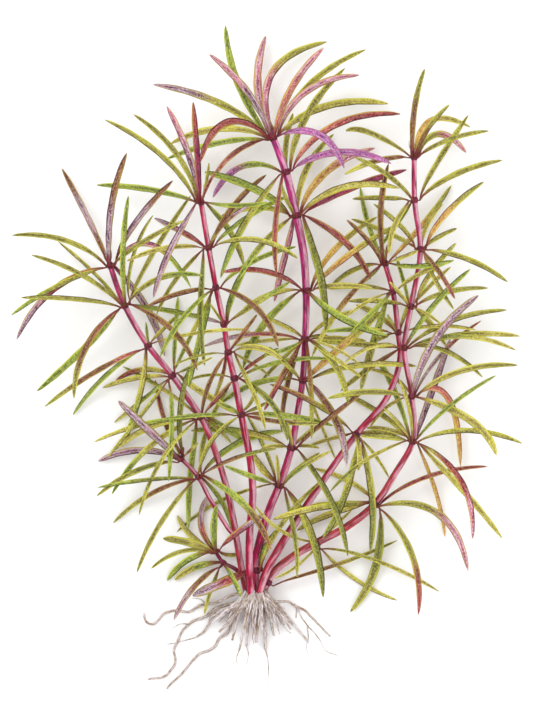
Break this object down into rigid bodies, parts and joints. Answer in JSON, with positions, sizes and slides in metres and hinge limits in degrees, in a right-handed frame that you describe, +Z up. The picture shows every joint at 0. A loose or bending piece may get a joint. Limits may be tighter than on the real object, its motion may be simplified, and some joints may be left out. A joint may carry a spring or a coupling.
{
  "type": "pogostemon stellatus aquarium plant",
  "caption": "Uprooted bushy aquarium stem plant lying down: branching crimson stems with whorls of narrow olive, green and rose leaves, and a tuft of fine roots.",
  "frame": {"origin": "on the surface the plant lies on, below the middle of the whole plant's outline", "axes": "+Y towards the shoot tips with the roots at -Y, +X to the right as one looks down on the plant with the tips up, +Z up from the surface"},
  "size_m": [0.229, 0.2988, 0.059],
  "materials": {
    "leaf": null,
    "stem": null,
    "root": "matt, fibrous, pale beige brown"
  },
  "bodies": {
    "root": {"stem_far_left": "stem", "stem_inner_left": "stem", "stem_centre": "stem", "stem_inner_right": "stem", "stem_far_right": "stem", "stem_short_branch": "stem", "stem_side_shoot": "stem", "whorl_far_left_1": "leaf", "whorl_far_left_2": "leaf", "whorl_far_left_3": "leaf", "whorl_far_left_4": "leaf", "whorl_far_left_5": "leaf", "whorl_inner_left_1": "leaf", "whorl_inner_left_2": "leaf", "whorl_inner_left_3": "leaf", "whorl_inner_left_4": "leaf", "whorl_inner_left_5": "leaf", "whorl_inner_left_6": "leaf", "whorl_inner_left_7": "leaf", "whorl_centre_1": "leaf", "whorl_centre_2": "leaf", "whorl_centre_3": "leaf", "whorl_centre_4": "leaf", "whorl_centre_5": "leaf", "whorl_centre_6": "leaf", "whorl_centre_7": "leaf", "whorl_centre_8": "leaf", "whorl_centre_9": "leaf", "whorl_far_right_10": "leaf", "whorl_inner_right_1": "leaf", "whorl_inner_right_2": "leaf", "whorl_inner_right_3": "leaf", "whorl_inner_right_4": "leaf", "whorl_far_right_1": "leaf", "whorl_far_right_2": "leaf", "whorl_far_right_3": "leaf", "whorl_far_right_4": "leaf", "whorl_far_right_5": "leaf", "whorl_far_right_6": "leaf", "whorl_far_right_7": "leaf", "whorl_far_right_8": "leaf", "whorl_far_right_9": "leaf", "whorl_short_branch_1": "leaf", "whorl_short_branch_2": "leaf", "whorl_side_shoot_1": "leaf", "whorl_side_shoot_2": "leaf", "root_crown": "root", "root_long_1": "root", "root_long_2": "root", "root_long_3": "root", "root_long_4": "root", "root_long_5": "root"}
  },
  "joints": []
}
